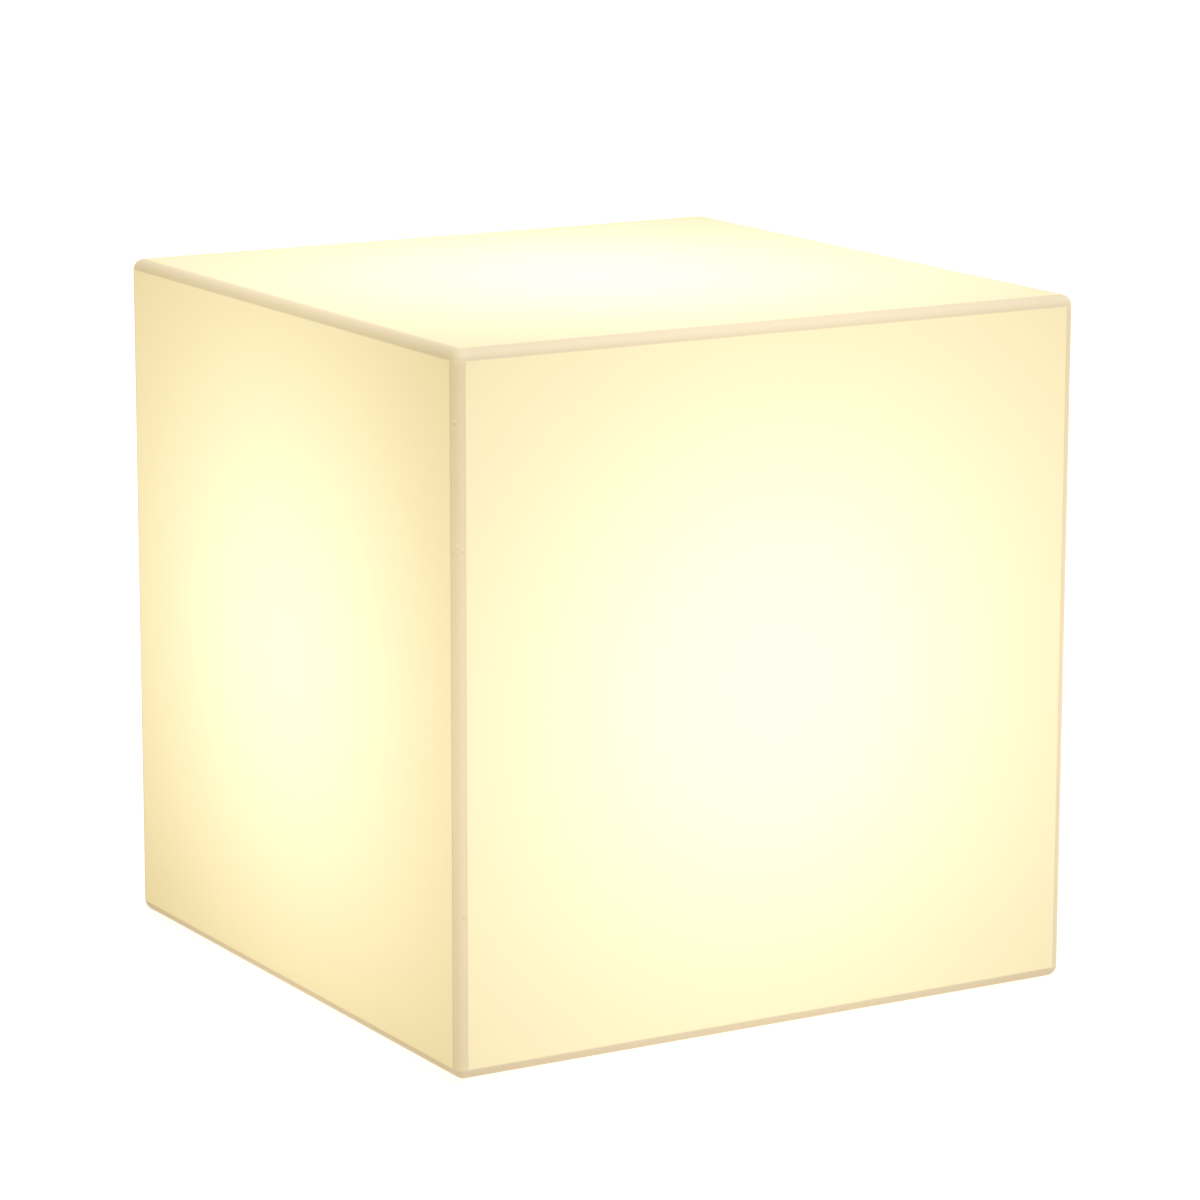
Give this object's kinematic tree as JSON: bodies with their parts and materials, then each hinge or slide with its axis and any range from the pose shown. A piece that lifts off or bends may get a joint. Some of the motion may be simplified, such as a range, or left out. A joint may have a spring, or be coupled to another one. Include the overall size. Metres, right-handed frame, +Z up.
{
  "type": "led cube light",
  "caption": "Moulded cube garden light and seat, lit from its middle by a screw-in bulb on a mast that stands on a screwed-in base plate.",
  "frame": {"origin": "on the ground under the cube's centre, at the feet's treads", "axes": "+Z up, +Y to the back, where the supply cord leaves, +X to the right seen from the front"},
  "size_m": [0.4, 0.4, 0.403],
  "materials": {
    "shell_polyethylene": "satin moulded",
    "stainless_steel": "machined",
    "plain_brass": "machined",
    "zinc_plated_steel": "plated",
    "base_polypropylene": "fine textured",
    "gasket_foam": "closed-cell foam",
    "foot_rubber": "moulded",
    "white_tube": "powder coat",
    "black_phenolic": "moulded gloss",
    "white_ceramic": "bare fired",
    "nickel_plate": "plated",
    "grey_box_plastic": "fine textured",
    "milky_nylon": "translucent",
    "brown_wire": "soft gloss",
    "blue_wire": "soft gloss",
    "grey_nylon": "moulded",
    "washer_rubber": "moulded",
    "opal_plastic": "opal",
    "white_plastic": "moulded",
    "pressed_aluminium": "pressed",
    "white_board": "solder mask",
    "phosphor": "cast",
    "green_board": "solder mask",
    "black_parts": "moulded"
  },
  "bodies": {
    "base": {"plate_screws": "stainless_steel", "foot_screws": "stainless_steel", "mast_foot_screws": "stainless_steel", "mast_set_screw": "stainless_steel", "terminal_box_screws": "stainless_steel", "terminal_lid_screws": "stainless_steel", "gland_housing_screws": "stainless_steel", "block_screw": "stainless_steel", "nipple_nuts": "stainless_steel", "threaded_nipple": "plain_brass", "holder_contact": "plain_brass", "holder_terminals": "plain_brass", "terminal_sleeves": "plain_brass", "terminal_screws": "zinc_plated_steel", "holder_terminal_screws": "zinc_plated_steel", "base_plate": "base_polypropylene", "gland_housing": "base_polypropylene", "mast_foot": "base_polypropylene", "base_gasket": "gasket_foam", "rubber_feet": "foot_rubber", "wire_grommet": "foot_rubber", "mast_tube": "white_tube", "mast_plug": "black_phenolic", "holder_cap": "black_phenolic", "holder_skirt": "black_phenolic", "holder_core": "white_ceramic", "holder_sleeve": "nickel_plate", "terminal_box": "grey_box_plastic", "terminal_lid": "grey_box_plastic", "terminal_block": "milky_nylon", "live_wire": "brown_wire", "neutral_wire": "blue_wire", "gland_body": "grey_nylon", "gland_locknut": "grey_nylon", "gland_washer": "washer_rubber"},
    "shell": {"cube_shell": "shell_polyethylene", "threaded_inserts": "plain_brass"},
    "bulb_tip": {"bulb_contact": "plain_brass", "bulb_insulator": "black_phenolic"},
    "bulb": {"bulb_cap": "nickel_plate", "bulb_housing": "white_plastic", "bulb_heat_plate": "pressed_aluminium", "led_board": "white_board", "led_chips": "phosphor", "driver_board": "green_board", "driver_parts": "black_parts", "bulb_globe": "opal_plastic"},
    "gland_seal": {"gland_seal": "foot_rubber"},
    "gland_nut": {"gland_nut": "grey_nylon"}
  },
  "joints": [
    {"name": "shell_lift", "type": "slide", "parent": "base", "child": "shell", "axis": [0, 0, 1], "range_m": [0, 0.261]},
    {"name": "bulb_rise", "type": "slide", "parent": "base", "child": "bulb_tip", "axis": [0, 0, 1], "range_m": [0, 0.01815]},
    {"name": "bulb_turn", "type": "hinge", "parent": "bulb_tip", "child": "bulb", "pos_m": [0, 0, 0.14], "axis": [0, 0, 1], "range_deg": [0, 1800]},
    {"name": "gland_push", "type": "slide", "parent": "base", "child": "gland_seal", "axis": [0, 1, 0], "range_m": [0, 0.0045]},
    {"name": "gland_nut_turn", "type": "hinge", "parent": "gland_seal", "child": "gland_nut", "pos_m": [0, 0.0945, 0.03355], "axis": [0, 1, 0], "range_deg": [0, 1080]}
  ],
  "couplings": [
    {"joint": "bulb_rise", "follows": "bulb_turn", "m_per_rad": 0.00057757},
    {"joint": "gland_push", "follows": "gland_nut_turn", "m_per_rad": 0.00023873}
  ]
}
